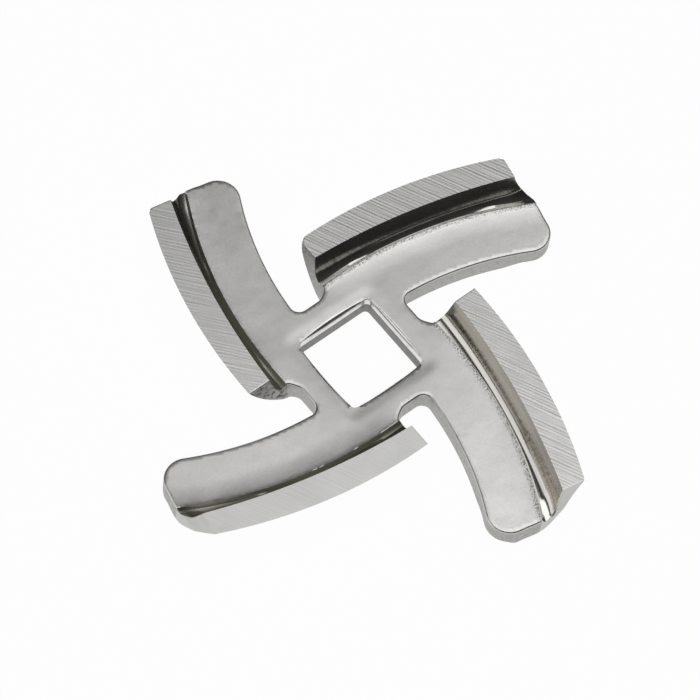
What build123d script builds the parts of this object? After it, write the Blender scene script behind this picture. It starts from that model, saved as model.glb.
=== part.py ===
from build123d import *
from math import asin, degrees, hypot, radians, sqrt, tan
import os

# Four-armed meat grinder knife, pressed in one piece from steel sheet.
# The plate lies on z = 0 and the drive hole stands on the Z axis, its sides along X and Y.
# The arms sweep back one after the other. Along the leading side of each arm the sheet is bent
# up into a lip, and the tops of the four lips are ground in one plane. The arm described here
# points along +Y and cuts towards -X; the others are quarter turns of it. Millimetres.

# Sheet
sheet_thickness = 2.5
knife_height = 5.15
arm_count = 4

# Square drive hole, whose upper edges are rolled over: widest at mid side, narrow at the corners
hole_side = 9.0
hole_corner_radius = 0.5
hole_roll_start = 1.65
hole_roll_waist = 2.25
hole_roll_width = 0.5
hole_roll_corner = 0.03
waist_share = 0.3

# Plan of an arm: each arc's radius, and its distances at the lip's start and at its tip
arm_reach = 25.05
tip_turn = 8.0
tip_corner_radius = 2.4
cutting_edge_radius = 53.1
cutting_edge_start = 12.93
cutting_edge_tip = 8.1
ground_edge_radius = 75.5
ground_width_start = 2.57
ground_width_tip = 2.67
crease_radius = 44.8
cove_width_start = 2.1
cove_width_tip = 2.5
back_edge_radius = 36.2
back_edge_start = 2.58
back_edge_tip = -3.4

# Notch between the back of one arm and the lip of the next
notch_floor = 7.3
notch_wall = 1.25
notch_back_radius = 1.0
notch_lip_radius = 1.1

# Ground top of the lip: its two ends, and how the sheared end faces lean from upright
lip_start = 2.05
lip_start_lean = 8.0
lip_tip_inset = 0.4
lip_tip_turn = 10.5
lip_tip_lean = 20.0

# Section of the lip, across the arm
groove_depth = 0.35
cove_lean = 17.0
cove_radius = 1.5
bend_reach = 4.45
bend_bulge = 0.4
bend_radius = 2.0

# Outer edge of the plate, rounded as the blank is cut
rim_radius = 0.3

# Room by which a cutting shape runs past what it cuts, the bend's own room, which stays short of
# the next arm, and a length wider than any arm
margin = 3.0
bend_margin = 4.5
wide = 24.0


class Bow:
    """Arc in plan that bulges towards -X, through a start point and a tip point."""

    def __init__(self, start, tip, radius):
        span = hypot(tip[0] - start[0], tip[1] - start[1])
        depth = sqrt(radius**2 - (span / 2) ** 2)
        self.radius = radius
        self.x = (start[0] + tip[0]) / 2 + depth * (tip[1] - start[1]) / span
        self.y = (start[1] + tip[1]) / 2 - depth * (tip[0] - start[0]) / span

    def at(self, y, grow=0.0):
        """Point at y on the arc, or on a larger one about the same centre."""
        return (self.x - sqrt((self.radius + grow) ** 2 - (y - self.y) ** 2), y)

    def line(self, low, high, grow=0.0):
        """The arc itself, from y = low to y = high."""
        return ThreePointArc(*(self.at(y, grow) for y in (low, (low + high) / 2, high)))

    def axis(self):
        """Upright axis about which a turn leads from low y to high y."""
        return Axis((self.x, self.y, 0), (0, 0, -1))

    def turn(self, low, high):
        """Degrees from y = low to y = high."""
        return degrees(asin((high - self.y) / self.radius) - asin((low - self.y) / self.radius))

    def section(self, y):
        """Upright plane from the centre to the arc at y: local x is radius, local y is height."""
        outwards = Vector(self.at(y)[0] - self.x, y - self.y, 0)
        return Plane((self.x, self.y, 0), x_dir=outwards, z_dir=outwards.cross(Vector(0, 0, 1)))


# Arcs of one arm, from its leading side to its back
start_x = -cutting_edge_start
tip_x = -cutting_edge_tip
cutting_bow = Bow((start_x, lip_start), (tip_x, arm_reach), cutting_edge_radius)
start_x += ground_width_start
tip_x += ground_width_tip
ground_bow = Bow((start_x, lip_start), (tip_x, arm_reach), ground_edge_radius)
start_x += cove_width_start
tip_x += cove_width_tip
crease_bow = Bow((start_x, lip_start), (tip_x, arm_reach), crease_radius)
back_bow = Bow((-back_edge_start, notch_floor), (-back_edge_tip, arm_reach), back_edge_radius)

# Plan of one arm, cut off by the tip line
past_tip = arm_reach + margin
with BuildSketch() as arm_plan:
    with BuildLine():
        outer = cutting_bow.line(notch_wall, past_tip, grow=margin)
        inner = back_bow.line(notch_floor, past_tip)
        Line(outer @ 1, inner @ 1)
        Polyline(inner @ 0, (-back_edge_start, notch_wall), outer @ 0)
    make_face()
    with Locations(Location((0, arm_reach), -tip_turn)):
        Rectangle(wide, wide, align=(Align.CENTER, Align.MIN), mode=Mode.SUBTRACT)
    fillet(arm_plan.vertices().sort_by(Axis.X)[-1], radius=tip_corner_radius)

# Plan of the sheet blank: a square hub, the four arms and the round corners of the notches
with BuildSketch() as blank_plan:
    Rectangle(2 * notch_floor, 2 * notch_floor)
    with PolarLocations(0, arm_count):
        add(arm_plan.sketch)
    for corner_x, radius in ((-back_edge_start, notch_back_radius), (notch_wall, notch_lip_radius)):
        for arm in range(arm_count):
            corner = Vector(corner_x, notch_floor).rotate(Axis.Z, 360 / arm_count * arm)
            fillet(blank_plan.vertices().sort_by_distance(corner)[0], radius=radius)

# Strip outside the crease, where the sheet is bent up along one arm
with BuildSketch() as strip_plan:
    with BuildLine():
        outer = cutting_bow.line(0, past_tip, grow=margin)
        inner = crease_bow.line(0, past_tip)
        Line(outer @ 0, inner @ 0)
        Line(outer @ 1, inner @ 1)
    make_face()

# Punch that presses the cove: a leaning wall, a round corner and the groove's floor
groove_floor = sheet_thickness - groove_depth
with BuildPart() as cove_punch:
    with BuildSketch(ground_bow.section(0)) as cove_section:
        lean_run = tan(radians(cove_lean))
        foot = (ground_edge_radius - (knife_height - groove_floor) * lean_run, groove_floor)
        top = knife_height + margin
        with BuildLine():
            Polyline(
                (foot[0] - 2 * margin, top),
                (foot[0] - 2 * margin, groove_floor),
                foot,
                (ground_edge_radius + margin * lean_run, top),
                close=True,
            )
        make_face()
        fillet(cove_section.vertices().sort_by_distance(foot)[0], radius=cove_radius)
    revolve(axis=ground_bow.axis(), revolution_arc=ground_bow.turn(0, past_tip))

# Die under the bend: an arc from the plate's underside out and up to the cutting edge
with BuildPart() as bend_die:
    with BuildSketch(cutting_bow.section(0)) as bend_section:
        foot = (cutting_edge_radius - bend_reach, 0)
        edge = (cutting_edge_radius, knife_height)
        with BuildLine():
            SagittaArc(foot, edge, -bend_bulge)
            Polyline(
                edge,
                (edge[0], knife_height + margin),
                (edge[0] + bend_margin, knife_height + margin),
                (edge[0] + bend_margin, -margin),
                (foot[0] - margin, -margin),
                (foot[0] - margin, 0),
                foot,
            )
        make_face()
        fillet(bend_section.vertices().sort_by_distance(foot)[0], radius=bend_radius)
    revolve(axis=cutting_bow.axis(), revolution_arc=cutting_bow.turn(0, past_tip))

# One lip: the bent strip of the blank, between its two leaning end faces
start_face = Plane(
    (*ground_bow.at(lip_start), knife_height),
    z_dir=Vector(0, -1, 0).rotate(Axis.X, -lip_start_lean),
)
tip_face = Plane(
    (*ground_bow.at(arm_reach - lip_tip_inset), knife_height),
    z_dir=Vector(0, 1, 0).rotate(Axis.X, lip_tip_lean).rotate(Axis.Z, -lip_tip_turn),
)
with BuildPart() as lip:
    with BuildSketch():
        add(strip_plan.sketch)
        add(blank_plan.sketch, mode=Mode.INTERSECT)
    extrude(amount=knife_height)
    add(cove_punch.part, mode=Mode.SUBTRACT)
    for end_face in (start_face, tip_face):
        with BuildSketch(end_face):
            Rectangle(wide, wide)
        extrude(amount=wide / 2, mode=Mode.SUBTRACT)

# Roller for the drive hole: above the straight wall the hole widens to four bowed sides
with BuildPart() as hole_roller:
    rolls = ((hole_roll_start, 0), (hole_roll_waist, waist_share), (sheet_thickness, 1))
    for height, share in rolls:
        corner = hole_side / 2 + hole_roll_corner * share
        bow = (hole_roll_width - hole_roll_corner) * share
        with BuildSketch(Plane.XY.offset(height)) as roll_outline:
            with BuildLine():
                for turn in (0, 90, 180, 270):
                    ends = [Vector(corner, y).rotate(Axis.Z, turn) for y in (-corner, corner)]
                    if share:
                        SagittaArc(*ends, -bow)
                    else:
                        Line(*ends)
            make_face()
            fillet(roll_outline.vertices(), radius=hole_corner_radius)
    loft()

with BuildPart() as knife:
    with BuildSketch():
        add(blank_plan.sketch)
        with PolarLocations(0, arm_count):
            add(strip_plan.sketch, mode=Mode.SUBTRACT)
    extrude(amount=sheet_thickness)
    rim = knife.edges().filter_by_position(Axis.Z, sheet_thickness, sheet_thickness)
    rim = rim.filter_by(lambda edge: 2 * rim_radius < edge.length < arm_reach - notch_floor)
    fillet(rim, radius=rim_radius)
    with PolarLocations(0, arm_count):
        add(lip.part)
        add(bend_die.part, mode=Mode.SUBTRACT)
    with BuildSketch():
        RectangleRounded(hole_side, hole_side, hole_corner_radius)
    extrude(amount=sheet_thickness, mode=Mode.SUBTRACT)
    add(hole_roller.part, mode=Mode.SUBTRACT)

knife.part.label = "knife"
os.makedirs("parts", exist_ok=True)
export_step(knife.part, "parts/knife.step")
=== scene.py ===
from functools import partial
from math import asin, atan2, ceil, cos, hypot, pi, radians, sin, sqrt, tan
from types import SimpleNamespace

import bmesh
import bpy
import numpy as np
from mathutils import Matrix, Vector, noise
from mathutils.geometry import delaunay_2d_cdt


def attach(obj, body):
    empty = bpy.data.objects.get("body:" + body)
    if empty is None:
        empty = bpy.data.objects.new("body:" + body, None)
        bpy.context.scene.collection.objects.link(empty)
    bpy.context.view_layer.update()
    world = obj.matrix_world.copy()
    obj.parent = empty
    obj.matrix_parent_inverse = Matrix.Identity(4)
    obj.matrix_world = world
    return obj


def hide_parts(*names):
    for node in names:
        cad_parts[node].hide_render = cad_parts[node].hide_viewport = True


bl_info = {
    "name": "Meat Grinder Knife",
    "version": (1, 0, 0),
    "blender": (4, 5, 0),
    "location": "3D View > Sidebar > Grinder Knife",
    "description": "Builds a pressed steel grinder knife with ground lips, and the studio it lies in",
    "category": "Add Mesh",
}

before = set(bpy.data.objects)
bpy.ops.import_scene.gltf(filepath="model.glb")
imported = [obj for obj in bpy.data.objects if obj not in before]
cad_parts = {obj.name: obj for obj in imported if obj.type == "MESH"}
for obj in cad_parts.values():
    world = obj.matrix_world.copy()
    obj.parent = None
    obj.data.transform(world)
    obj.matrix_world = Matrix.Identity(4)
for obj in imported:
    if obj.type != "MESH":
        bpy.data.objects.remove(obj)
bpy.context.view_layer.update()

MM = 0.001

# Plan of one arm, in millimetres. The arm points along +Y and its cutting edge leads towards -X.
ARMS = 4
SHEET = 2.5
TOP = 5.15
REACH = 25.05
FURTHEST = 25.76
TIP_SLOPE = tan(radians(8.0))
TIP_CORNER = 2.4
TIP_OVERRUN = 0.3
NOTCH_FLOOR = 7.3
NOTCH_WALL = 1.25
NOTCH_BACK_CORNER = 1.0
NOTCH_LIP_CORNER = 1.1
BACK_START = 2.58
BACK_TIP = -3.4

# Where along X the tip line bulges, and over what run it rises and falls
TIP_BULGE = 0.14
TIP_BULGE_START = -5.5
TIP_BULGE_END = -0.4
TIP_BULGE_RUN = 2.0

# Section of the lip, in millimetres
GROOVE_FLOOR = 2.15
COVE_LEAN = radians(17.0)
COVE_RADIUS = 1.5
BEND_REACH = 4.45
BEND_BULGE = 0.4
BEND_RADIUS = 2.0

# The lip's end faces come outwards as they go down. The one at the tip sweeps out by a power of the
# depth, stops short of the tip line, and meets it just before the crease.
LIP_START = 2.05
LIP_START_LEAN = tan(radians(8.0))
LIP_TIP = 24.65
LIP_TIP_TURN = tan(radians(10.5))
TIP_SWEEP = 1.6
TIP_SHORT = 0.86
TIP_MEET = 1.0

# Drive hole, in millimetres. Above the straight wall its edge is rolled over, widest at mid side.
HOLE = 4.5
HOLE_CORNER = 0.5
ROLL_START = 1.65
ROLL_WIDE = 0.5
ROLL_NARROW = 0.1
ROLL_ROWS = 8

# How finely the skin is divided, from the crease over the lip's top to its underside, and then in
# the edges and the plate. Corners and the plate's upper side go by shares of the mesh cell.
STEP = (0.0, 0.12, 0.3, 0.6, 1.0)
STEP_CURVE = 1.3
COVE_RAILS = 12
WALL_RAILS = 8
GROUND_SHARES = (0.22, 0.45, 0.66, 0.81, 0.91, 0.97, 0.992, 1.0)
GROUND_RAIL = len(STEP) + COVE_RAILS + WALL_RAILS - 1
EDGE_RAIL = GROUND_RAIL + len(GROUND_SHARES)
BEND_RAILS = 19
BEND_CURVE = 1.25
LIP_RUN = 22.0
WALL_ROWS = 8
RIM_STEPS = (0.03, 0.1, 0.2)
CORNER_CELL = 0.6
HOLE_CORNER_CELL = 0.1
PLATE_CELL = 1.5
UNDER_CELL = 0.9
FIELD_CLEAR = 0.62
FIELD_BLOCK = 200

# Beside each crease: the plate's lines, the burr, the roughened metal, and where the dish fades out
BURR_GAPS = (0.07, 0.16, 0.3, 0.5)
BURR_WIDE = 0.2
CREASE_WIDE = 0.62
CREASE_FADE = 0.5
DISH_FADE = 5.0
DISH_OVERRUN = 4.0

# How far along the blank's edge it gives way to the lips' ends, and is cut smooth
EDGE_SHIFT = 1.3
EDGE_FADE = 0.8

# What differs between the four lips: the grinding's turn from +X, in degrees, the width of the step
# from crease to groove and where the tip ends, in millimetres
GRIND_TURN = (26.0, 26.0, 26.0, 40.0)
STEP_WIDTH = (0.60, 0.24, 0.62, 0.60)
STEP_TIP_WIDTH = (0.80, 0.34, 0.26, 0.24)
TIP_SHIFT = (0.0, 0.3, 0.0, -0.15)

# What differs between the four lips, as shares of the most that one has
GRIND_DEPTH = (1.0, 0.9, 0.25, 0.5)
WORN_START = (1.0, 0.0, 0.0, 0.0)
WORN_TIP = (0.5, 0.2, 0.0, 0.5)
ROUGH_CREASE = (1.0, 0.8, 0.12, 0.12)
# Painted light: how much each lip's cove wall is painted lighter, as a painted reflection of the side
# lamp
COVE_PAINTED_LIGHT = (0.0, 1.0, 0.1, 0.1)
# Painted shade: how much each lip's cove floor is made rougher and painted darker as a dull cove
COVE_DULL_SHADE = (0.0, 0.0, 1.0, 0.85)
GROOVE_RISE = (1.0, -0.7, 1.0, 0.6)

# How many strips of each step have the plate's finish, and which lip tore at its start
# On the lips with none, the cove's finish reaches the crease, with its painted shade
STEP_BRIGHT = (2, 2, 0, 0)
TORN_ARM = 3

# Where along an arm the step changes its width, the dullness and its painted shade fade, and the groove
# rises
STEP_CHANGE = 13.0
STEP_CHANGE_RUN = 9.0
DULL_SHADE_FADE = 0.6
DULL_SHADE_FADE_START = 17.0
DULL_SHADE_FADE_RUN = 7.0
GROOVE_RISE_RUN = 2.0

# How far apart the lips lie in the patterns of their finishes
FLOW_APART = 40.0
GRIND_APART = 10.0

# Lamps, floor and camera, in metres
KEY_PLACE = (-0.0175, 0.12, 0.62)
KEY_SIZE = (0.435, 0.74)
SIDE_PLACE = (-0.23, -0.50, 0.26)
SIDE_SIZE = (0.45, 0.40)
FLOOR_HALF = 2.0
FLOOR_Z = -0.02 * MM
FLOOR_GLOW = 0.975
CAMERA_AIM = (-0.00185, 0.00026, 0.0)
CAMERA_WAY = (-0.32645, 0.33894, -0.88235)
CAMERA_ROLL = radians(8.403)

SHARP_ANGLE = radians(32)

# Numbers of the finishes
PLATE, GROUND, COVE, SHEARED, TORN, TRIMMED, ROLLED = range(7)


def mix(low, high, share):
    return low + (high - low) * share


def mix_all(lows, highs, share):
    return [mix(low, high, share) for low, high in zip(lows, highs)]


def unit(x, y):
    length = hypot(x, y)
    return x / length, y / length


def ease(share):
    share = min(max(share, 0.0), 1.0)
    return share * share * (3 - 2 * share)


class Bow:
    """Arc in plan that bulges towards -X, through a start point and a tip point."""

    def __init__(self, start, tip, radius):
        span = hypot(tip[0] - start[0], tip[1] - start[1])
        depth = sqrt(radius**2 - (span / 2) ** 2)
        self.radius = radius
        self.x = (start[0] + tip[0]) / 2 + depth * (tip[1] - start[1]) / span
        self.y = (start[1] + tip[1]) / 2 - depth * (tip[0] - start[0]) / span

    def at(self, y, inset=0.0):
        return self.x - sqrt((self.radius - inset) ** 2 - (y - self.y) ** 2)

    def inset_of(self, x, y):
        return self.radius - hypot(x - self.x, y - self.y)


cutting_bow = Bow((-12.93, LIP_START), (-8.1, REACH), 53.1)
ground_bow = Bow((-10.36, LIP_START), (-5.43, REACH), 75.5)
crease_bow = Bow((-8.26, LIP_START), (-2.93, REACH), 44.8)
back_bow = Bow((-BACK_START, NOTCH_FLOOR), (-BACK_TIP, REACH), 36.2)


def turned(x, y, arm):
    """The point of the given arm that stands where (x, y) does on the first one."""
    for _ in range(arm % ARMS):
        x, y = y, -x
    return x, y


def stepped(place, way, distance, arm=0):
    """A place moved along a direction, and turned to an arm."""
    return turned(place[0] + way[0] * distance, place[1] + way[1] * distance, arm)


# The lip

cove_foot = (TOP - GROOVE_FLOOR) * tan(COVE_LEAN)
cove_turn = COVE_RADIUS * tan((pi / 2 - COVE_LEAN) / 2)
wall_inset = cove_foot - cove_turn * sin(COVE_LEAN)
floor_inset = cove_foot + cove_turn


def cove_height(inset):
    """Height of the pressed cove at a distance in from the ground face's inner edge."""
    if inset <= wall_inset:
        return TOP - inset / tan(COVE_LEAN)
    if inset >= floor_inset:
        return GROOVE_FLOOR
    return GROOVE_FLOOR + COVE_RADIUS - sqrt(COVE_RADIUS**2 - (floor_inset - inset) ** 2)


# The bend's underside: a wide arc from the cutting edge, then a round foot that meets the flat
chord = hypot(BEND_REACH, TOP)
bend_bow = (chord**2 / 4 + BEND_BULGE**2) / (2 * BEND_BULGE)
bend_x = BEND_REACH / 2 + (bend_bow - BEND_BULGE) * TOP / chord
bend_z = TOP / 2 + (bend_bow - BEND_BULGE) * BEND_REACH / chord
foot_inset = bend_x - sqrt((bend_bow - BEND_RADIUS) ** 2 - (bend_z - BEND_RADIUS) ** 2)
bend_inset = bend_x + (foot_inset - bend_x) * bend_bow / (bend_bow - BEND_RADIUS)


def under_height(inset):
    """Height of the underside at a distance in from the cutting edge."""
    if inset >= foot_inset:
        return 0.0
    if inset >= bend_inset:
        return BEND_RADIUS - sqrt(BEND_RADIUS**2 - (foot_inset - inset) ** 2)
    return bend_z - sqrt(bend_bow**2 - (bend_x - inset) ** 2)


def plate_under(x, y):
    """Height of the plate's lower side, which is flat but for the run-out of each bend."""
    z = 0.0
    for arm in range(ARMS):
        local_x, local_y = turned(x, y, ARMS - arm)
        if local_y > 0:
            inset = max(cutting_bow.inset_of(local_x, local_y), bend_inset)
            z += under_height(inset) * ease(local_y)
    return z


def step_width(y, arm):
    return mix(STEP_WIDTH[arm], STEP_TIP_WIDTH[arm], ease((y - STEP_CHANGE) / STEP_CHANGE_RUN))


def shares_of(count):
    return [step / count for step in range(1, count + 1)]


def lip_rails(arm):
    """Lines along the lip: from the crease over the top to the cutting edge, and back below."""
    def brink(share, y):
        x = crease_bow.at(y) - share * step_width(y, arm)
        ridge = (SHEET - GROOVE_FLOOR) * (1 - share**STEP_CURVE)
        return x, max(cove_height(ground_bow.inset_of(x, y)), GROOVE_FLOOR + ridge)

    def cove(share, y):
        x = mix(crease_bow.at(y) - step_width(y, arm), ground_bow.at(y, wall_inset), share)
        return x, cove_height(ground_bow.inset_of(x, y))

    def wall(share, y):
        inset = wall_inset * (1 - share)
        return ground_bow.at(y, inset), cove_height(inset)

    def ground(share, y):
        return mix(ground_bow.at(y), cutting_bow.at(y), share), TOP

    def bend(share, y):
        inset = bend_inset * share**BEND_CURVE
        return cutting_bow.at(y, inset), under_height(inset)

    def foot(share, y):
        x = mix(cutting_bow.at(y, bend_inset), crease_bow.at(y), share)
        return x, under_height(cutting_bow.inset_of(x, y))

    runs = {
        brink: STEP,
        cove: shares_of(COVE_RAILS),
        wall: shares_of(WALL_RAILS),
        ground: GROUND_SHARES,
        bend: shares_of(BEND_RAILS),
        foot: shares_of(EDGE_RAIL - BEND_RAILS),
    }
    return [partial(run, share) for run, shares in runs.items() for share in shares]


def rounding(gap, radius):
    """How far a rounded corner has drawn back at a distance in from its end."""
    if gap >= radius:
        return 0.0
    return radius - sqrt(radius**2 - (radius - max(gap, 0.0)) ** 2)


def start_end(x, z, arm, corner):
    """Where the lip starts, at a place in its section."""
    y = LIP_START + LIP_START_LEAN * (z - TOP)
    return y + rounding(x - cutting_bow.at(y), corner * WORN_START[arm])


def tip_end(x, z, arm, corner):
    """Where the lip ends, at a place in its section: below its top it sweeps out to the tip line."""
    tip = LIP_TIP + TIP_SHIFT[arm]
    top = min(tip - (x - ground_bow.at(tip)) * LIP_TIP_TURN, tip_line(x))
    below = min(max(TOP - z, 0.0) / (TOP - GROOVE_FLOOR), 1.0) ** TIP_SWEEP
    near = ease((x - crease_bow.at(tip)) / TIP_MEET + 1)
    full = 1 - (1 - TIP_SHORT) * (1 - near) * (1 - ease(1 - z / GROOVE_FLOOR))
    y = mix(top, tip_line(x), mix(below, 1.0, near) * full)
    return y - rounding(x - cutting_bow.at(y), corner * WORN_TIP[arm])


def tip_line(x):
    """The blank's tip: a slanting line that bulges where the groove was pressed."""
    rise, fall = (x - TIP_BULGE_START) / TIP_BULGE_RUN, (TIP_BULGE_END - x) / TIP_BULGE_RUN
    return min(REACH - TIP_SLOPE * x + TIP_BULGE * ease(fall) * ease(rise), FURTHEST)


def settle(rail, end, y):
    """The y at which a rail meets an end face, found in a few rounds."""
    for _ in range(12):
        y = end(*rail(y))
    return y


def stations(length, step):
    """Distances along a line, closer together at its two ends."""
    ends = (0.0,) + RIM_STEPS
    inner = max(2, ceil((length - 2 * ends[-1]) / step))
    middle = [mix(ends[-1], length - ends[-1], k / inner) for k in range(1, inner)]
    return list(ends) + middle + [length - gap for gap in reversed(ends)]


def arc(centre, radius, first, last, step):
    """Points of an arc between two angles."""
    count = max(2, ceil(abs(last - first) * radius / step))
    return [
        (centre[0] + radius * cos(mix(first, last, k / count)),
         centre[1] + radius * sin(mix(first, last, k / count)))
        for k in range(count + 1)
    ]


def straight(first, last, step):
    """Points of a straight line."""
    count = max(1, ceil(hypot(last[0] - first[0], last[1] - first[1]) / step))
    return [mix_all(first, last, k / count) for k in range(count + 1)]


def blank_edge(step):
    """Edge of the blank from one arm's crease, round its tip and back to the next arm's crease."""
    slope = atan2(TIP_SLOPE, 1.0)
    out = (sin(slope), cos(slope))
    along = (cos(slope), -sin(slope))
    back = (back_bow.x, back_bow.y)
    rise = REACH * cos(slope) - TIP_CORNER
    gap = rise - (out[0] * back[0] + out[1] * back[1])
    way = along[0] * back[0] + along[1] * back[1]
    way -= sqrt((back_bow.radius + TIP_CORNER) ** 2 - gap**2)
    tip = (out[0] * rise + along[0] * way, out[1] * rise + along[1] * way)
    to_back = atan2(back[1] - tip[1], back[0] - tip[0])
    crease_x = crease_bow.at(REACH + TIP_OVERRUN)

    notch_y = NOTCH_FLOOR + NOTCH_BACK_CORNER
    notch_x = back[0] - sqrt((back_bow.radius - NOTCH_BACK_CORNER) ** 2 - (notch_y - back[1]) ** 2)
    to_notch = atan2(notch_y - back[1], notch_x - back[0])
    from_tip = atan2(tip[1] - back[1], tip[0] - back[0])
    lip = (NOTCH_WALL - NOTCH_LIP_CORNER, NOTCH_FLOOR + NOTCH_LIP_CORNER)
    last = asin((-crease_bow.at(LIP_START) - lip[1]) / NOTCH_LIP_CORNER)

    tip_run = straight((crease_x, 0.0), (tip[0] + out[0] * TIP_CORNER, 0.0), step)
    runs = [
        [(x, tip_line(x)) for x, _ in tip_run],
        arc(tip, TIP_CORNER, pi / 2 - slope, to_back, step),
        arc(back, back_bow.radius, from_tip, to_notch, step),
        arc((notch_x, notch_y), NOTCH_BACK_CORNER, to_notch, 3 * pi / 2, step * CORNER_CELL),
        straight((notch_x, NOTCH_FLOOR), (lip[0], NOTCH_FLOOR), step),
        arc(lip, NOTCH_LIP_CORNER, -pi / 2, last, step * CORNER_CELL),
    ]
    return runs[0] + [point for run in runs[1:] for point in run[1:]]


def lengths_along(points):
    """How far along their line each point lies."""
    lengths = [0.0]
    for (ax, ay), (bx, by) in zip(points, points[1:]):
        lengths.append(lengths[-1] + hypot(bx - ax, by - ay))
    return lengths


def shift_ends(points, first, last):
    """Moves a line's two ends to new places, and what is near them by less."""
    lengths = lengths_along(points)
    start = (first[0] - points[0][0], first[1] - points[0][1])
    end = (last[0] - points[-1][0], last[1] - points[-1][1])
    moved = []
    for (x, y), length in zip(points, lengths):
        near_start = ease(1 - length / EDGE_SHIFT) ** 2
        near_end = ease(1 - (lengths[-1] - length) / EDGE_SHIFT) ** 2
        moved.append((
            x + start[0] * near_start + end[0] * near_end,
            y + start[1] * near_start + end[1] * near_end,
        ))
    return moved, lengths


def inwards(points):
    """Unit directions into the sheet from its edge, which runs with the sheet on its right."""
    directions = []
    for k in range(len(points)):
        ax, ay = points[max(k - 1, 0)]
        bx, by = points[min(k + 1, len(points) - 1)]
        directions.append(unit(by - ay, ax - bx))
    return directions


class Skin:
    """The knife's skin while it is worked out, in millimetres."""

    def __init__(self, sizes):
        self.sizes = sizes
        self.points = []
        self.flows = []
        self.faces = []
        self.finishes = []

    def point(self, x, y, z, flow=(0.0, 0.0, 0)):
        """Adds a point. Its flow is how far it lies along and across the lip, and which lip."""
        self.points.append((x, y, z))
        self.flows.append(flow)
        return len(self.points) - 1

    def flat(self, index):
        return self.points[index][:2]

    def local(self, index, arm):
        """The point that lies on the first arm as this one does on the given arm."""
        x, y, z = self.points[index]
        return (*turned(x, y, ARMS - arm), z)

    def face(self, corners, finish):
        kept = [c for k, c in enumerate(corners) if c != corners[k - 1]]
        if len(kept) > 2:
            self.faces.append(kept)
            self.finishes.append(finish)

    def net(self, lines, finish):
        """Adds faces between lines of the same number of points."""
        for one, other in zip(lines, lines[1:]):
            for k in range(len(one) - 1):
                self.face((one[k], one[k + 1], other[k + 1], other[k]), finish)


def crease_gap(x, y):
    """How far the nearest crease is, how far out along its arm, and which arm that is."""
    nearest = (100.0, 0.0, 0)
    for arm in range(ARMS):
        local_x, local_y = turned(x, y, ARMS - arm)
        if local_y > 0:
            nearest = min(nearest, (abs(crease_bow.inset_of(local_x, local_y)), local_y, arm))
    return nearest


def hole_gap(x, y):
    """How far outside the drive hole's square a place is."""
    low, high = sorted((abs(x) - HOLE, abs(y) - HOLE))
    return high if low < 0 else hypot(low, high)


def ripple(x, y, z):
    """Smooth unevenness, between about -1 and 1."""
    return noise.noise(Vector((x, y, z)))


def plate_height(x, y, sizes):
    """Height of the plate's upper side: it rises to each crease and sinks round the drive hole."""
    gap, along, _ = crease_gap(x, y)
    fade = ease(along / DISH_FADE) * ease((REACH + DISH_OVERRUN - along) / DISH_FADE)
    rise = sizes.dish_depth * fade * max(1 - gap / sizes.dish_width, 0.0) ** 2
    sink = sizes.hole_dip * (1 - ease((hole_gap(x, y) - ROLL_NARROW) / sizes.hole_dip_width))
    wave = ripple(x / 3.1, y / 3.1, 4.0) + 0.4 * ripple(x, y, 9.0)
    return SHEET + rise - sink + sizes.sheet_wave * wave


def burr(y, arm, sizes):
    """Height of the raised burr along a crease."""
    rough = ripple(y * 2.3, arm * 11.0, 0.0) + 0.6 * ripple(y * 6.1, arm * 5.0, 3.0)
    return sizes.burr_height * (0.7 + rough) * mix(0.25, 1.0, ROUGH_CREASE[arm])


def lip_lines(arm, marks, corner):
    """Places along each rail of a lip, from its start end to its tip end."""
    near = len(RIM_STEPS) + 1
    lines = []
    for rail in lip_rails(arm):
        low = settle(rail, lambda x, z: start_end(x, z, arm, corner), LIP_START)
        high = settle(rail, lambda x, z: tip_end(x, z, arm, corner), LIP_TIP)
        line = []
        for k, mark in enumerate(marks):
            if k < near:
                y = low + mark
            elif k >= len(marks) - near:
                y = high - (marks[-1] - mark)
            else:
                share = (mark - RIM_STEPS[-1]) / (marks[-1] - 2 * RIM_STEPS[-1])
                y = mix(low + RIM_STEPS[-1], high - RIM_STEPS[-1], share)
            x, z = rail(y)
            line.append((x, y, z))
        lines.append(line)
    return lines


def lip_grid(skin, lines, arm, marks):
    """Adds a lip's points, with its burr, press marks, rounded ends and the groove's end."""
    sizes = skin.sizes
    last = len(lines) - 1
    across = lengths_along([(x, z) for x, _, z in (line[len(line) // 2] for line in lines)])
    grid = []
    for j, line in enumerate(lines):
        row = []
        for k, (x, y, z) in enumerate(line):
            to_tip = marks[-1] - marks[k]
            gap = min(marks[k], to_tip)
            before, after = lines[max(j - 1, 0)][k], lines[min(j + 1, last)][k]
            run, rise = after[0] - before[0], after[2] - before[2]
            length = hypot(run, rise)
            if j < len(STEP):
                brink = plate_height(*turned(x, y, arm), sizes) + burr(y, arm, sizes)
                ridge = brink - rounding(gap, RIM_STEPS[-1]) - GROOVE_FLOOR
                z = max(z if j else 0.0, GROOVE_FLOOR + ridge * (1 - STEP[j] ** STEP_CURVE))
            elif j == EDGE_RAIL:
                x += rounding(gap, sizes.edge_radius)
            else:
                drop = rounding(gap, sizes.edge_radius)
                if j < GROUND_RAIL:
                    drop += sizes.press_marks * ripple(j * 0.9, y * 0.12, arm * 7.0)
                x -= drop * rise / length
                z += drop * run / length
            if j < GROUND_RAIL:
                inner, outer = ground_bow.at(y), crease_bow.at(y)
                share = min(max((x - inner) / (outer - inner), 0.0), 1.0)
                most = GROOVE_RISE[arm] * sizes.groove_close * ease(1 - to_tip / GROOVE_RISE_RUN)
                z += most * 4 * share * (1 - share)
            row.append(skin.point(*turned(x, y, arm), z, (y, across[j], arm)))
        grid.append(row)
    return grid


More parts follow.
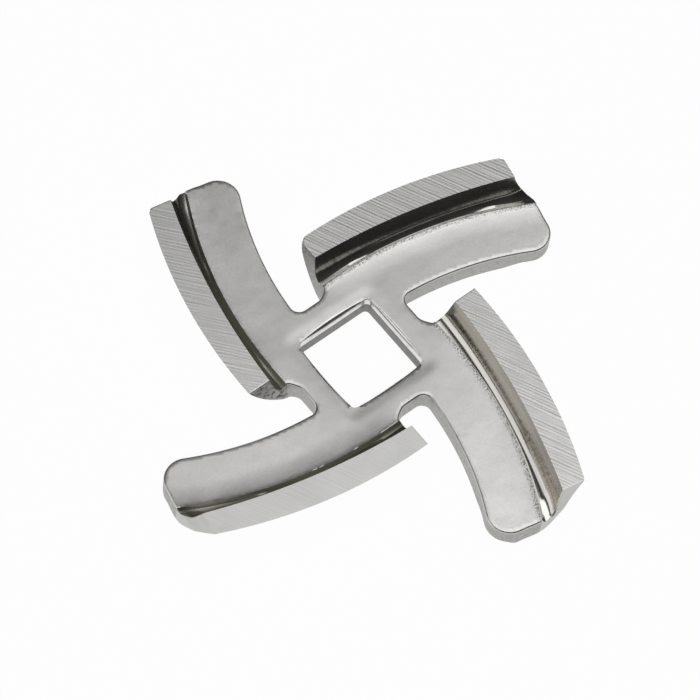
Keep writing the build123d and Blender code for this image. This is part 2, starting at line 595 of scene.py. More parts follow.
def lip_ends(skin, grid, arm):
    """Closes a lip's two ends, and returns their columns that the blank's edge joins on to."""
    sizes = skin.sizes
    last = len(grid) - 1
    torn = arm == TORN_ARM
    tear = sizes.tear_depth if torn else sizes.shear_depth
    columns = []
    for k, end, way, uneven, finish in (
        (0, start_end, 1, 1.0, TORN if torn else SHEARED),
        (-1, tip_end, -1, 0.4, TRIMMED),
    ):
        rows = [[grid[j][k] for j in range(EDGE_RAIL + 1)]]
        for step in range(1, WALL_ROWS):
            share = step / WALL_ROWS
            row = []
            for j in range(EDGE_RAIL):
                upper = skin.local(grid[j][k], arm)
                lower = skin.local(grid[last - j][k], arm)
                x, _, z = mix_all(upper, lower, share)
                y = end(x, z, arm, sizes.worn_corner)
                depth = tear * (0.5 + ripple(x * 1.9, z * 2.3, arm * 5.0 + k))
                depth += 0.4 * tear * ripple(x * 6, z * 6, arm * 3.0)
                y += way * depth * 4 * share * (1 - share) * min(1.0, j / 3) * uneven
                row.append(skin.point(*turned(x, y, arm), z))
            row.append(grid[EDGE_RAIL][k])
            rows.append(row)
        rows.append([grid[last - j][k] for j in range(EDGE_RAIL + 1)])
        skin.net(rows, finish)
        columns.append([row[0] for row in rows])
    return columns


def build_lip(skin, arm):
    """Lays one lip's skin and end faces, and returns what the plate joins on to."""
    marks = stations(LIP_RUN, skin.sizes.cell)
    grid = lip_grid(skin, lip_lines(arm, marks, skin.sizes.worn_corner), arm, marks)
    skin.net(grid[:STEP_BRIGHT[arm] + 1], PLATE)
    skin.net(grid[STEP_BRIGHT[arm]:GROUND_RAIL + 1], COVE)
    skin.net(grid[GROUND_RAIL:EDGE_RAIL + 1], GROUND)
    skin.net(grid[EDGE_RAIL:], PLATE)
    start, tip = lip_ends(skin, grid, arm)
    return {"ridge": grid[0], "under": grid[-1], "start": start, "tip": tip}


# The blank's edge and the plate

def rim_way(skin, inner, outer, arm):
    """Direction in which the rim's rings leave a crease's end."""
    ax, ay, _ = skin.local(inner, arm)
    bx, by, _ = skin.local(outer, arm)
    return unit(ax - bx, ay - by)


def build_edge(skin, plan, lip, following, arm):
    """Lays the blank's edge from one lip's tip to the next lip's start, with its rounded rim."""
    sizes = skin.sizes
    (top, lengths), (low, _) = (
        shift_ends(plan, skin.local(lip["tip"][k], arm), skin.local(following["start"][k], arm))
        for k in (0, -1))
    into = inwards(top)
    inner = range(1, len(top) - 1)
    fades = [ease(min(length, lengths[-1] - length) / EDGE_FADE) for length in lengths]
    columns = [lip["tip"]]
    for k in inner:
        high = plate_height(*turned(*top[k], arm), sizes) - RIM_STEPS[-1]
        foot = plate_under(*turned(*low[k], arm)) + sizes.edge_radius
        column = []
        for step in range(WALL_ROWS + 1):
            share = step / WALL_ROWS
            z = mix(high, foot, share)
            rough = ripple(lengths[k] * 1.7, z * 0.8, arm * 9.0)
            rough += 0.7 * ripple(lengths[k] * 5.0, z * 2.0, arm * 4.0)
            depth = sizes.shear_depth * rough * fades[k] * 4 * share * (1 - share)
            place = mix_all(top[k], low[k], share)
            column.append(skin.point(*stepped(place, into[k], depth, arm), z))
        columns.append(column)
    columns.append(following["start"])
    skin.net(columns, SHEARED)

    rings = [[column[0] for column in columns]]
    for number, gap in enumerate(RIM_STEPS, 1):
        first, last = lip["ridge"][-1 - number], following["ridge"][number]
        from_lip = rim_way(skin, first, lip["ridge"][-1], arm)
        to_lip = rim_way(skin, last, following["ridge"][0], arm)
        ring = [first]
        for k in inner:
            end = from_lip if lengths[k] < lengths[-1] / 2 else to_lip
            spot = stepped(top[k], unit(*mix_all(end, into[k], fades[k])), gap, arm)
            z = plate_height(*spot, sizes) - rounding(gap, RIM_STEPS[-1])
            ring.append(skin.point(*spot, z))
        ring.append(last)
        rings.append(ring)
    skin.net(rings, PLATE)

    under = [lip["under"][-2]]
    for k in inner:
        spot = stepped(low[k], into[k], RIM_STEPS[0], arm)
        under.append(skin.point(*spot, plate_under(*spot)))
    under.append(following["under"][1])
    skin.net([[column[-1] for column in columns], under], PLATE)
    return {"rim": rings[-1], "under": under}


def build_edges(skin, lips):
    """Lays the blank's sheared edge round all four arms."""
    plan = blank_edge(skin.sizes.cell)
    return [build_edge(skin, plan, lips[arm], lips[(arm + 1) % ARMS], arm) for arm in range(ARMS)]


def build_hole(skin):
    """Lays the drive hole's walls and its rolled upper edges, and returns the rings round it."""
    sizes = skin.sizes
    flat = HOLE - HOLE_CORNER
    ring = []
    for side in range(ARMS):
        for x, y in straight((HOLE, flat), (HOLE, -flat), sizes.cell)[:-1]:
            wide = mix(ROLL_WIDE, ROLL_NARROW, (y / flat) ** 2)
            ring.append((turned(x, y, side), turned(1.0, 0.0, side), wide))
        for x, y in arc((flat, -flat), HOLE_CORNER, 0.0, -pi / 2, HOLE_CORNER_CELL)[:-1]:
            way = ((x - flat) / HOLE_CORNER, (y + flat) / HOLE_CORNER)
            ring.append((turned(x, y, side), turned(*way, side), ROLL_NARROW))
    rows = []
    for row in range(WALL_ROWS):
        share = row / WALL_ROWS
        line = []
        for (x, y), way, _ in ring:
            rough = ripple(x * 2 + y * 2, share * 2.5, x - y) if row else 0.0
            spot = stepped((x, y), way, 0.5 * sizes.shear_depth * rough)
            line.append(skin.point(*spot, ROLL_START * share))
        rows.append(line)
    for row in range(ROLL_ROWS + 1):
        turn = pi / 2 * row / ROLL_ROWS
        line = []
        for place, way, wide in ring:
            brink = plate_height(*stepped(place, way, wide), sizes)
            spot = stepped(place, way, wide * (1 - cos(turn)))
            line.append(skin.point(*spot, mix(ROLL_START, brink, sin(turn))))
        rows.append(line)
    closed = [row + row[:1] for row in rows]
    skin.net(closed[:WALL_ROWS + 1], SHEARED)
    skin.net(closed[WALL_ROWS:], ROLLED)
    return rows[-1], rows[0]


def fill_flat(skin, loops, lines, spacing, height):
    """Fills the flat between an outer and an inner loop with triangles that follow the lines."""
    used = {}
    spots = []

    def number(index):
        if index not in used:
            used[index] = len(spots)
            spots.append(Vector(skin.flat(index)))
        return used[index]

    edges = []
    for line in [loop + loop[:1] for loop in loops] + lines:
        edges += [(number(a), number(b)) for a, b in zip(line, line[1:]) if a != b]
    indices = list(used)

    fixed = np.array(spots)
    low, high = fixed.min(axis=0), fixed.max(axis=0)
    across = np.arange(low[0], high[0], spacing)
    up = np.arange(low[1], high[1], spacing * sqrt(3) / 2)
    xs, ys = np.meshgrid(across, up)
    xs[1::2] += spacing / 2
    field = np.column_stack((xs.ravel(), ys.ravel()))
    outer, inner = ([skin.flat(index) for index in loop] for loop in loops)
    field = field[inside(field, outer) & ~inside(field, inner)]
    near = np.full(len(field), np.inf)
    for start in range(0, len(fixed), FIELD_BLOCK):
        block = fixed[start:start + FIELD_BLOCK]
        gaps = ((field[:, None, :] - block[None, :, :]) ** 2).sum(axis=2).min(axis=1)
        near = np.minimum(near, gaps)
    for x, y in field[near > (FIELD_CLEAR * spacing) ** 2].tolist():
        indices.append(skin.point(x, y, height(x, y)))
        spots.append(Vector((x, y)))

    found, _, faces, origins, _, _ = delaunay_2d_cdt(spots, edges, [], 1, 1e-6)
    names = []
    for (x, y), origin in zip(found, origins):
        names.append(indices[origin[0]] if origin else skin.point(x, y, height(x, y)))
    centres = np.array([[sum(found[c][axis] for c in face) / 3 for axis in (0, 1)] for face in faces])
    for face, keep in zip(faces, inside(centres, outer) & ~inside(centres, inner)):
        if keep:
            skin.face([names[c] for c in face], PLATE)


def inside(spots, loop):
    """Which of the spots lie inside a closed loop."""
    result = np.zeros(len(spots), bool)
    x, y = spots[:, 0], spots[:, 1]
    for (ax, ay), (bx, by) in zip(loop, loop[1:] + loop[:1]):
        if ay == by:
            continue
        crosses = (ay > y) != (by > y)
        result ^= crosses & (x < (bx - ax) * (y - ay) / (by - ay) + ax)
    return result


def build_plate(skin, lips, edges, hole):
    """Fills the plate's upper and lower sides."""
    sizes = skin.sizes
    brink, foot = hole
    near = len(RIM_STEPS)
    rim_loop, under_loop, lines = [], [], []
    for arm, (lip, edge) in enumerate(zip(lips, edges)):
        rim_loop += lip["ridge"][near:-near - 1] + edge["rim"][:-1]
        under_loop += lip["under"][1:-2] + edge["under"][:-1]
        for gap in BURR_GAPS:
            line = []
            for index in lip["ridge"][near + 1:-near - 1]:
                _, y, _ = skin.local(index, arm)
                spot = turned(crease_bow.at(y, gap), y, arm)
                lift = burr(y, arm, sizes) * (1 - ease(gap / BURR_WIDE))
                line.append(skin.point(*spot, plate_height(*spot, sizes) + lift))
            lines.append(line)
    spacing = PLATE_CELL * sizes.cell
    fill_flat(skin, [rim_loop, brink], lines, spacing, lambda x, y: plate_height(x, y, sizes))
    fill_flat(skin, [under_loop, foot], [], UNDER_CELL, plate_under)


class GrinderKnifeShape(bpy.types.PropertyGroup):
    """Sizes of the knife's fine detail."""

    cell: bpy.props.FloatProperty(
        name="Mesh Cell", description="Length of the skin's mesh cells",
        default=0.00022, min=0.0001, max=0.002, unit="LENGTH", precision=5)
    edge_radius: bpy.props.FloatProperty(
        name="Edge Radius", description="Rounding of the lip's ends and the plate's lower edge",
        default=0.00006, min=0.0, max=0.0003, unit="LENGTH", precision=5)
    burr_height: bpy.props.FloatProperty(
        name="Burr Height", description="Mean height of the burr that the press raises along each crease",
        default=0.00005, min=0.0, max=0.0003, unit="LENGTH", precision=5)
    dish_depth: bpy.props.FloatProperty(
        name="Dish Depth", description="How far the plate rises to each crease",
        default=0.00011, min=-0.0005, max=0.0005, unit="LENGTH", precision=5)
    dish_width: bpy.props.FloatProperty(
        name="Dish Width", description="How far from the crease the plate starts to rise",
        default=0.0025, min=0.0005, max=0.006, unit="LENGTH", precision=5)
    groove_close: bpy.props.FloatProperty(
        name="Groove Close",
        description="How far the groove's floor rises where the groove runs out at the tip",
        default=0.0004, min=0.0, max=0.001, unit="LENGTH", precision=5)
    hole_dip: bpy.props.FloatProperty(
        name="Hole Dip", description="How far the plate sinks round the drive hole",
        default=0.00006, min=0.0, max=0.0003, unit="LENGTH", precision=5)
    hole_dip_width: bpy.props.FloatProperty(
        name="Hole Dip Width", description="How far from the drive hole the plate starts to sink",
        default=0.0016, min=0.0005, max=0.004, unit="LENGTH", precision=5)
    sheet_wave: bpy.props.FloatProperty(
        name="Sheet Wave", description="Unevenness of the sheet's upper side",
        default=0.00001, min=0.0, max=0.0002, unit="LENGTH", precision=6)
    press_marks: bpy.props.FloatProperty(
        name="Press Marks", description="Depth of the marks that the press leaves along the cove",
        default=0.000004, min=0.0, max=0.0001, unit="LENGTH", precision=6)
    shear_depth: bpy.props.FloatProperty(
        name="Shear Depth", description="Unevenness of the sheared edges",
        default=0.00003, min=0.0, max=0.0003, unit="LENGTH", precision=6)
    tear_depth: bpy.props.FloatProperty(
        name="Tear Depth", description="Unevenness of the one lip end that tore as it was cut",
        default=0.00012, min=0.0, max=0.0005, unit="LENGTH", precision=5)
    worn_corner: bpy.props.FloatProperty(
        name="Worn Corner", description="Radius of the leading corner that has worn round the most",
        default=0.0008, min=0.0001, max=0.002, unit="LENGTH", precision=5)


COLOR = {"subtype": "COLOR", "min": 0.0, "max": 1.0}


class GrinderKnifeFinish(bpy.types.PropertyGroup):
    """Colours of the knife's finishes."""

    plate: bpy.props.FloatVectorProperty(
        name="Plate", description="Satin sheet steel", default=(0.66, 0.655, 0.64), **COLOR)
    plate_stain: bpy.props.FloatVectorProperty(
        name="Plate Stain", description="Warm patches on the sheet",
        default=(0.66, 0.645, 0.615), **COLOR)
    ground: bpy.props.FloatVectorProperty(
        name="Ground Faces", description="Ground tops of the lips", default=(0.67, 0.665, 0.65), **COLOR)
    cove: bpy.props.FloatVectorProperty(
        name="Coves", description="Polished floors of the coves", default=(0.66, 0.65, 0.625), **COLOR)
    # Painted shade: the coves' walls take this colour, darker than their floors, in place of the dark
    # surroundings that they reflect
    cove_wall_shade: bpy.props.FloatVectorProperty(
        name="Cove Walls", description="Darker, drawn walls of the coves",
        default=(0.30, 0.29, 0.26), **COLOR)
    # Painted shade: the dull coves' floors take this dark colour in place of the dark lip wall that they
    # reflect. They are also made rougher
    cove_dull_shade: bpy.props.FloatVectorProperty(
        name="Dull Coves", description="Floor of the coves that weren't polished",
        default=(0.235, 0.23, 0.19), **COLOR)
    # Painted reflection: the one lighter cove wall takes this colour in place of the side lamp's
    # reflection
    cove_wall_painted_light: bpy.props.FloatVectorProperty(
        name="Light Cove Wall", description="Wall of the lightest cove",
        default=(0.62, 0.585, 0.53), **COLOR)
    sheared: bpy.props.FloatVectorProperty(
        name="Sheared Edges", description="Cut edges of the sheet", default=(0.46, 0.455, 0.44), **COLOR)
    trimmed: bpy.props.FloatVectorProperty(
        name="Trimmed Ends", description="Tip ends of the lips", default=(0.60, 0.60, 0.58), **COLOR)
    pit: bpy.props.FloatVectorProperty(
        name="Pits", description="Dark spots in torn metal", default=(0.09, 0.09, 0.085), **COLOR)


class GrinderKnifeStudio(bpy.types.PropertyGroup):
    """The floor, the lamps and the camera."""

    floor: bpy.props.FloatVectorProperty(
        name="Floor", description="Plain floor", default=(0.86, 0.86, 0.86), **COLOR)
    surroundings: bpy.props.FloatProperty(
        name="Surroundings", description="Brightness of the room round the lamps",
        default=0.05, min=0.0, max=2.0)
    key_power: bpy.props.FloatProperty(
        name="Key Lamp", description="Power of the large lamp overhead",
        default=1.62, min=0.0, unit="POWER")
    side_power: bpy.props.FloatProperty(
        name="Side Lamp", description="Power of the lamp at the left",
        default=0.65, min=0.0, unit="POWER")
    camera_distance: bpy.props.FloatProperty(
        name="Camera Distance", description="From the camera to the knife",
        default=0.40365, min=0.05, unit="LENGTH")
    lens: bpy.props.FloatProperty(
        name="Lens", description="Focal length in millimetres",
        default=203.5, min=10.0, unit="CAMERA")


def shade(color, factor):
    return [min(part * factor, 1.0) for part in color]


class Finish:
    """A material and the nodes that vary it."""

    def __init__(self, name, metallic=1.0):
        self.material = bpy.data.materials.new(name)
        self.material.use_nodes = True
        self.nodes = self.material.node_tree.nodes
        self.links = self.material.node_tree.links
        self.shader = next(node for node in self.nodes if node.type == "BSDF_PRINCIPLED")
        self.shader.inputs["Metallic"].default_value = metallic

    def fill(self, node, inputs):
        """Sets a node's inputs, or links them where a value is another node's output."""
        for name, value in inputs.items():
            socket = node.inputs[name]
            if isinstance(value, bpy.types.NodeSocket):
                self.links.new(value, socket)
            else:
                socket.default_value = (*value, 1.0) if socket.type == "RGBA" else value

    def node(self, kind, inputs, **settings):
        node = self.nodes.new(kind)
        for name, value in settings.items():
            setattr(node, name, value)
        self.fill(node, inputs)
        return node

    def place(self, scale=(1, 1, 1), turn=0.0):
        """Place on the knife in millimetres, turned and then stretched."""
        where = self.node("ShaderNodeTexCoord", {}).outputs["Object"]
        return self.node("ShaderNodeMapping", {
            "Vector": where, "Scale": [MM / part for part in scale], "Rotation": (0, 0, turn),
        }, vector_type="TEXTURE").outputs["Vector"]

    def field(self, name, output="Fac"):
        """A value that the skin carries at each point."""
        return self.node("ShaderNodeAttribute", {}, attribute_name=name).outputs[output]

    def flow(self, scale, name="flow"):
        """Place along and across the way the metal was worked, in millimetres, stretched."""
        where = self.field(name, "Vector")
        return self.node("ShaderNodeMapping", {"Vector": where, "Scale": scale}).outputs["Vector"]

    def from_centre(self, place):
        return self.node("ShaderNodeVectorMath", {"Vector": place}, operation="LENGTH").outputs["Value"]

    def noise(self, place, scale=1.0, detail=3.0, roughness=0.55):
        return self.node("ShaderNodeTexNoise", {
            "Vector": place, "Scale": scale, "Detail": detail, "Roughness": roughness,
        }).outputs["Fac"]

    def math(self, operation, one, other):
        return self.node("ShaderNodeMath", {0: one, 1: other}, operation=operation).outputs[0]

    def spread(self, value, low, high, out_low, out_high):
        return self.node("ShaderNodeMapRange", {
            "Value": value, "From Min": low, "From Max": high, "To Min": out_low, "To Max": out_high,
        }).outputs["Result"]

    def blend(self, share, one, other):
        return self.node("ShaderNodeMix", {0: share, 6: one, 7: other}, data_type="RGBA").outputs[2]

    def mottle(self, value, low, high, color, dark, light):
        """A colour that goes from a darker to a lighter shade as a value rises."""
        share = self.spread(value, low, high, 0.0, 1.0)
        return self.blend(share, shade(color, dark), shade(color, light))

    def cover(self, color, value, low, high, most, other):
        """Lays at most this share of another colour over a colour as a value rises."""
        return self.blend(self.spread(value, low, high, 0.0, most), color, other)

    def bump(self, height, depth, under=None):
        inputs = {"Height": height, "Distance": depth * MM}
        if under:
            inputs["Normal"] = under
        return self.node("ShaderNodeBump", inputs).outputs["Normal"]

    def wear(self, color, roughness, normal):
        self.fill(self.shader, {"Base Color": color, "Roughness": roughness, "Normal": normal})
        return self.material


def plate_finish(colors):
    """Satin sheet: tumbled, with soft mottling, fine grain and a rough edge along each crease."""
    metal = Finish("satin_sheet")
    place = metal.place()
    cloud = metal.noise(place, 0.35, 5.0, 0.6)
    stain = metal.noise(metal.place((9, 6, 9), radians(40)), 1.0, 2.0, 0.4)
    grain = metal.noise(place, 3.2, 3.0, 0.65)
    rough = metal.noise(place, 4.6, 2.0, 0.6)
    crease = metal.field("crease")
    color = metal.mottle(cloud, 0.35, 0.65, colors.plate, 0.94, 1.04)
    color = metal.cover(color, stain, 0.42, 0.62, 0.5, colors.plate_stain)
    hub = metal.spread(metal.from_centre(place), 7.0, 14.0, 0.45, 0.0)
    color = metal.blend(hub, color, shade(colors.plate, 0.7))
    color = metal.cover(color, grain, 0.3, 0.7, 0.5, shade(colors.plate, 0.80))
    specks = metal.math("MULTIPLY", crease, metal.spread(rough, 0.50, 0.62, 0.0, 0.75))
    color = metal.blend(specks, color, shade(colors.plate, 0.30))
    roughness = metal.spread(cloud, 0.3, 0.7, 0.30, 0.38)
    normal = metal.bump(grain, 0.004)
    normal = metal.bump(metal.math("MULTIPLY", rough, crease), 0.06, normal)
    return metal.wear(color, roughness, metal.bump(metal.noise(place, 0.9, 2.0), 0.006, normal))


def ground_finish(colors):
    """Lip tops: matte, with fine parallel grinding lines."""
    metal = Finish("ground_lip")
    deep = metal.field("grind_depth")
    wave = metal.node("ShaderNodeTexWave", {
        "Vector": metal.flow((0.3, 1, 1), "grind"), "Scale": 0.95,
        "Distortion": 2.5, "Detail": 2.0, "Detail Scale": 1.2,
    }, bands_direction="Y").outputs["Fac"]
    uneven = metal.noise(metal.flow((0.16, 3.4, 1), "grind"), 1.0, 1.0, 0.4)
    lines = metal.math("ADD", metal.math("MULTIPLY", wave, 0.16), metal.math("MULTIPLY", uneven, 0.84))
    fine = metal.noise(metal.flow((0.3, 9.0, 1), "grind"), 1.0, 2.0, 0.5)
    cloud = metal.noise(metal.place(), 0.3)
    dark = metal.math("MULTIPLY", deep, metal.spread(lines, 0.35, 0.65, 0.0, 0.5))
    color = metal.mottle(cloud, 0.3, 0.7, colors.ground, 0.97, 1.03)
    color = metal.blend(dark, color, shade(colors.ground, 0.76))
    color = metal.cover(color, fine, 0.35, 0.65, 0.25, shade(colors.ground, 0.84))
    roughness = metal.spread(cloud, 0.3, 0.7, 0.36, 0.44)
    return metal.wear(color, roughness, metal.bump(metal.math("MULTIPLY", lines, deep), 0.03))


def cove_finish(colors):
    """Cove: polished by the press, with faint lines along it. Its walls are painted darker as painted
    shade, one lip's wall is painted lighter as a painted reflection of the side lamp, and the dull coves'
    floors are painted darker as painted shade.
    """
    metal = Finish("pressed_cove")
    lines = metal.noise(metal.flow((0.10, 3.0, 1)), 1.0, 3.0, 0.6)
    cloud = metal.noise(metal.flow((0.5, 1.0, 1)))
    # Above the floor, the cove takes the wall colour: painted shade, and on one lip a painted reflection
    height = metal.node("ShaderNodeSeparateXYZ", {"Vector": metal.place()}).outputs["Z"]
    up = metal.math("ADD", height, metal.spread(cloud, 0.3, 0.7, -0.12, 0.12))
    # The lip marked for it gets a lighter wall colour: a painted reflection of the side lamp
    wall = metal.blend(metal.field("cove_painted_light"), colors.cove_wall_shade, colors.cove_wall_painted_light)
    color = metal.cover(colors.cove, up, 2.2, 2.9, 1.0, wall)
    color = metal.cover(color, lines, 0.3, 0.7, 0.25, shade(colors.cove_wall_shade, 0.8))
    # Dull coves: rougher, and painted darker as painted shade
    dull = metal.field("cove_dull_shade")
    roughness = metal.spread(lines, 0.3, 0.7, 0.15, 0.20)
    roughness = metal.math("ADD", roughness, metal.math("MULTIPLY", dull, 0.24))
    color = metal.blend(dull, color, colors.cove_dull_shade)
    return metal.wear(color, roughness, metal.bump(lines, 0.004))


def sheared_finish(colors):
    """Cut edges: dull, streaked from top to bottom and a little spotted, with painted shade on the drive
    hole's walls.
    """
    metal = Finish("sheared_edge")
    place = metal.place()
    streaks = metal.noise(metal.place((1, 1, 3)), 3.2, 3.0, 0.6)
    spots = metal.noise(place, 2.2, 4.0, 0.65)
    color = metal.mottle(streaks, 0.3, 0.7, colors.sheared, 0.80, 1.12)
    color = metal.cover(color, spots, 0.60, 0.72, 0.5, colors.pit)
    # Painted shade: the walls inside the drive hole are given a much darker colour
    hole = metal.spread(metal.from_centre(place), 6.6, 7.1, 0.7, 0.0)
    color = metal.blend(hole, color, shade(colors.sheared, 0.35))
    roughness = metal.spread(spots, 0.3, 0.7, 0.42, 0.56)
    return metal.wear(color, roughness, metal.bump(spots, 0.03, metal.bump(streaks, 0.03)))


def torn_finish(colors):
    """Lip end that tore: rough grey with dark pits."""
    metal = Finish("torn_edge")
    place = metal.place()
    spots = metal.noise(place, 1.6, 4.0, 0.7)
    fine = metal.noise(place, 5.0, 3.0, 0.6)
    color = metal.mottle(fine, 0.3, 0.7, colors.sheared, 0.8, 1.2)
    color = metal.cover(color, spots, 0.50, 0.60, 0.85, colors.pit)
    roughness = metal.spread(fine, 0.3, 0.7, 0.45, 0.6)
    return metal.wear(color, roughness, metal.bump(fine, 0.03, metal.bump(spots, 0.08)))


def trimmed_finish(colors):
    """Tip ends of the lips: trimmed smooth, with a faint grain."""
    metal = Finish("trimmed_end")
    place = metal.place()
    cloud = metal.noise(place, 0.6, 4.0, 0.6)
    grain = metal.noise(place, 3.4, 3.0, 0.6)
    color = metal.mottle(cloud, 0.35, 0.65, colors.trimmed, 0.92, 1.04)
    color = metal.cover(color, grain, 0.3, 0.7, 0.3, shade(colors.trimmed, 0.8))
    return metal.wear(color, metal.spread(cloud, 0.3, 0.7, 0.40, 0.48), metal.bump(grain, 0.012))


def rolled_finish(colors):
    """Rolled edge of the drive hole: rubbed smooth, and lighter than the plate as a painted highlight."""
    metal = Finish("rolled_edge_painted_highlight")
    cloud = metal.noise(metal.place(), 1.2, 3.0, 0.6)
    # Painted highlight: the roll takes a colour lighter than the plate's
    color = metal.mottle(cloud, 0.35, 0.65, colors.plate, 1.05, 1.3)
    return metal.wear(color, metal.spread(cloud, 0.3, 0.7, 0.26, 0.34), metal.bump(cloud, 0.01))


# In the order of the finishes' numbers
FINISHES = (
    plate_finish, ground_finish, cove_finish, sheared_finish, torn_finish, trimmed_finish, rolled_finish)


class MESH_OT_grinder_knife(bpy.types.Operator):
    """Build the knife's skin in place of its plain solid"""

    bl_idname = "mesh.grinder_knife"
    bl_label = "Build Knife"
    bl_options = {"REGISTER", "UNDO"}

    def execute(self, context):
        scene = context.scene
        shape = scene.grinder_knife_shape
        sizes = {name: getattr(shape, name) / MM for name in shape.__annotations__}
        skin = Skin(SimpleNamespace(**sizes))
        lips = [build_lip(skin, arm) for arm in range(ARMS)]
        edges = build_edges(skin, lips)
        build_plate(skin, lips, edges, build_hole(skin))

        mesh = bpy.data.meshes.new("knife_skin")
        mesh.from_pydata([[part * MM for part in point] for point in skin.points], [], skin.faces)
        mesh.validate()
        mesh.polygons.foreach_set("material_index", skin.finishes)
        self.mark(mesh, skin)
        shaped = bmesh.new()
        shaped.from_mesh(mesh)
        bmesh.ops.recalc_face_normals(shaped, faces=shaped.faces)
        if any(len(edge.link_faces) != 2 for edge in shaped.edges):
            raise RuntimeError("the knife's skin isn't closed")
        shaped.to_mesh(mesh)
        shaped.free()
        mesh.shade_smooth()
        mesh.set_sharp_from_angle(angle=SHARP_ANGLE)

        for make in FINISHES:
            mesh.materials.append(make(scene.grinder_knife_finish))
        knife = bpy.data.objects.new("knife_skin", mesh)
        scene.collection.objects.link(knife)
        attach(knife, "root")
        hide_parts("knife")
        return {"FINISHED"}

    def mark(self, mesh, skin):
        """Gives each point what the finishes go by."""
        flows, grinds, depths, creases, lights, dull_shades = [], [], [], [], [], []
        for (x, y, _), (along, across, lip) in zip(skin.points, skin.flows):
            turn = radians(GRIND_TURN[lip])
            gap, _, near = crease_gap(x, y)
            fade = DULL_SHADE_FADE * ease((along - DULL_SHADE_FADE_START) / DULL_SHADE_FADE_RUN)
            flows += [along, across, FLOW_APART * lip]
            grinds += [x * cos(turn) + y * sin(turn), y * cos(turn) - x * sin(turn), GRIND_APART * lip]
            depths.append(GRIND_DEPTH[lip])
            creases.append(ROUGH_CREASE[near] * ease((CREASE_WIDE - gap) / CREASE_FADE))
            # How much painted reflection of the side lamp each point's cove wall carries
            lights.append(COVE_PAINTED_LIGHT[lip])
            dull_shades.append(COVE_DULL_SHADE[lip] * (1 - fade))
        for name, values in {"flow": flows, "grind": grinds}.items():
            mesh.attributes.new(name, "FLOAT_VECTOR", "POINT").data.foreach_set("vector", values)
        shares = {"grind_depth": depths, "crease": creases, "cove_painted_light": lights, "cove_dull_shade": dull_shades}
        for name, values in shares.items():
            mesh.attributes.new(name, "FLOAT", "POINT").data.foreach_set("value", values)


def lamp(scene, name, place, target, size, power):
    """A rectangular area lamp that faces a target."""
    light = bpy.data.lights.new(name, "AREA")
    light.shape = "RECTANGLE"
    light.size, light.size_y = size
    light.energy = power
    thing = bpy.data.objects.new(name, light)
    thing.location = place
    thing.rotation_euler = (Vector(target) - Vector(place)).to_track_quat("-Z", "Y").to_euler()
    scene.collection.objects.link(thing)


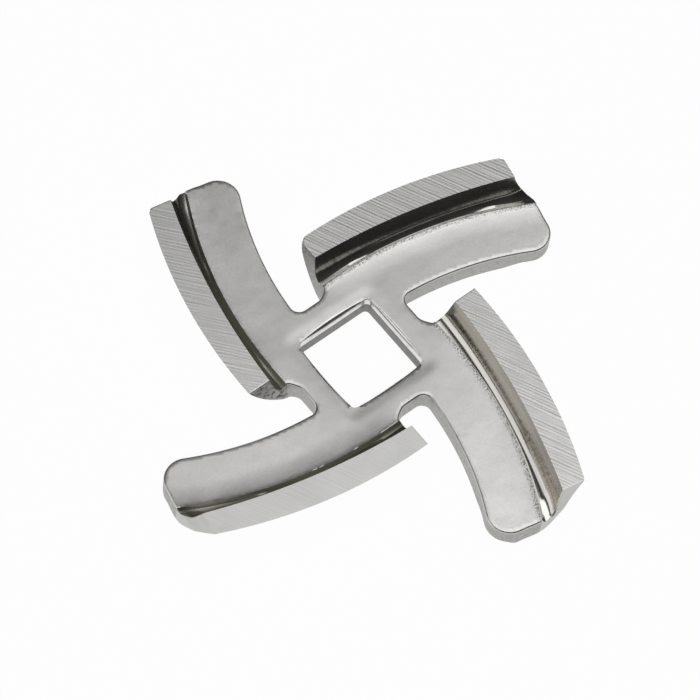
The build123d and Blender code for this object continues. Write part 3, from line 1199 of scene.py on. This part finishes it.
class SCENE_OT_grinder_knife_studio(bpy.types.Operator):
    """Lay the floor and set up the lamps and the camera"""

    bl_idname = "scene.grinder_knife_studio"
    bl_label = "Set Up Studio"
    bl_options = {"REGISTER", "UNDO"}

    def execute(self, context):
        scene = context.scene
        studio = scene.grinder_knife_studio
        self.lay_floor(scene, studio)

        world = bpy.data.worlds.new("studio_room")
        world.use_nodes = True
        room = next(node for node in world.node_tree.nodes if node.type == "BACKGROUND")
        room.inputs["Color"].default_value = (1.0, 1.0, 1.0, 1.0)
        room.inputs["Strength"].default_value = studio.surroundings
        scene.world = world
        lamp(scene, "key_lamp", KEY_PLACE, (*KEY_PLACE[:2], 0), KEY_SIZE, studio.key_power)
        lamp(scene, "side_lamp", SIDE_PLACE, (0, 0, 0), SIDE_SIZE, studio.side_power)

        camera = bpy.data.cameras.new("camera")
        camera.lens = studio.lens
        camera.sensor_width = 36.0
        thing = bpy.data.objects.new("camera", camera)
        forward = Vector(CAMERA_WAY).normalized()
        place = Vector(CAMERA_AIM) - forward * studio.camera_distance
        level = forward.to_track_quat("-Z", "Y").to_matrix()
        roll = Matrix.Rotation(CAMERA_ROLL, 3, "Z")
        thing.matrix_world = Matrix.Translation(place) @ (level @ roll).to_4x4()
        scene.collection.objects.link(thing)
        scene.camera = thing
        scene.view_settings.view_transform = "Standard"
        return {"FINISHED"}

    def lay_floor(self, scene, studio):
        """A wide floor: white to the camera and in reflections, but with the knife's shadow."""
        paper = Finish("floor_paper", metallic=0.0)
        paper.fill(paper.shader, {"Base Color": studio.floor, "Roughness": 0.9})
        path = paper.node("ShaderNodeLightPath", {}).outputs
        seen = paper.math("MAXIMUM", path["Is Camera Ray"], path["Is Glossy Ray"])
        seen = paper.math("MAXIMUM", seen, path["Is Transmission Ray"])
        share = paper.math("MULTIPLY", seen, FLOOR_GLOW)
        glow = paper.node("ShaderNodeEmission", {"Strength": 1.0}).outputs[0]
        both = paper.node("ShaderNodeMixShader", {0: share, 1: paper.shader.outputs[0], 2: glow})
        output = next(node for node in paper.nodes if node.type == "OUTPUT_MATERIAL")
        paper.fill(output, {"Surface": both.outputs[0]})

        mesh = bpy.data.meshes.new("floor")
        half = FLOOR_HALF
        plan = ((-half, -half), (half, -half), (half, half), (-half, half))
        mesh.from_pydata([(x, y, FLOOR_Z) for x, y in plan], [], [(0, 1, 2, 3)])
        mesh.materials.append(paper.material)
        floor = bpy.data.objects.new("floor", mesh)
        scene.collection.objects.link(floor)


class VIEW3D_PT_grinder_knife(bpy.types.Panel):
    """Sizes, finishes and operators of the grinder knife"""

    bl_idname = "VIEW3D_PT_grinder_knife"
    bl_label = "Grinder Knife"
    bl_space_type = "VIEW_3D"
    bl_region_type = "UI"
    bl_category = "Grinder Knife"

    def draw(self, context):
        scene = context.scene
        for title, group, operator in (
            ("Shape", scene.grinder_knife_shape, MESH_OT_grinder_knife.bl_idname),
            ("Finish", scene.grinder_knife_finish, None),
            ("Studio", scene.grinder_knife_studio, SCENE_OT_grinder_knife_studio.bl_idname),
        ):
            box = self.layout.box()
            box.label(text=title)
            for name in group.__annotations__:
                box.prop(group, name)
            if operator:
                box.operator(operator)


CLASSES = (
    GrinderKnifeShape,
    GrinderKnifeFinish,
    GrinderKnifeStudio,
    MESH_OT_grinder_knife,
    SCENE_OT_grinder_knife_studio,
    VIEW3D_PT_grinder_knife,
)


def register():
    for entry in CLASSES:
        bpy.utils.register_class(entry)
    bpy.types.Scene.grinder_knife_shape = bpy.props.PointerProperty(type=GrinderKnifeShape)
    bpy.types.Scene.grinder_knife_finish = bpy.props.PointerProperty(type=GrinderKnifeFinish)
    bpy.types.Scene.grinder_knife_studio = bpy.props.PointerProperty(type=GrinderKnifeStudio)


def unregister():
    del bpy.types.Scene.grinder_knife_shape
    del bpy.types.Scene.grinder_knife_finish
    del bpy.types.Scene.grinder_knife_studio
    for entry in reversed(CLASSES):
        bpy.utils.unregister_class(entry)


def main():
    register()
    bpy.ops.mesh.grinder_knife()
    bpy.ops.scene.grinder_knife_studio()


if __name__ == "__main__":
    main()
